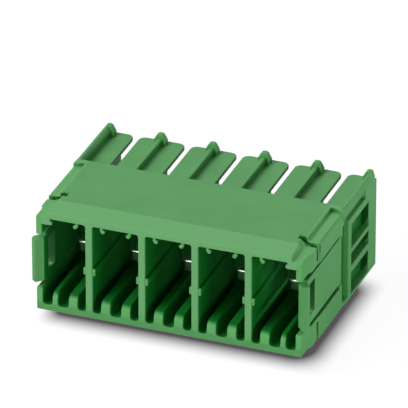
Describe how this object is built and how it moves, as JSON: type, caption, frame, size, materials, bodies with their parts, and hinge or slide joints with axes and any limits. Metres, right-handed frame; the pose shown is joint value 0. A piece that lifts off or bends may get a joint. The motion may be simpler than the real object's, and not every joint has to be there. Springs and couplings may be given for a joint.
{
  "type": "pin header",
  "caption": "Right-angle shrouded board header: open plug chambers side by side in a moulded housing, latch arms at both ends, flat contacts bent down to solder tails.",
  "frame": {"origin": "middle of the row, on the board face, in the plane of the mating face", "axes": "+X along the row to the right as seen from the mating side, +Y from the mating face to the solder tails, +Z away from the board"},
  "size_m": [0.0398, 0.0281, 0.0191],
  "materials": {
    "moulded_housing": "injection moulded glass-filled polyamide, semi-gloss green",
    "tinned_contact": "stamped copper alloy with a bright tin plating"
  },
  "bodies": {
    "root": {"housing": "moulded_housing", "contact_1": "tinned_contact", "contact_2": "tinned_contact", "contact_3": "tinned_contact", "contact_4": "tinned_contact", "contact_5": "tinned_contact"}
  },
  "joints": []
}
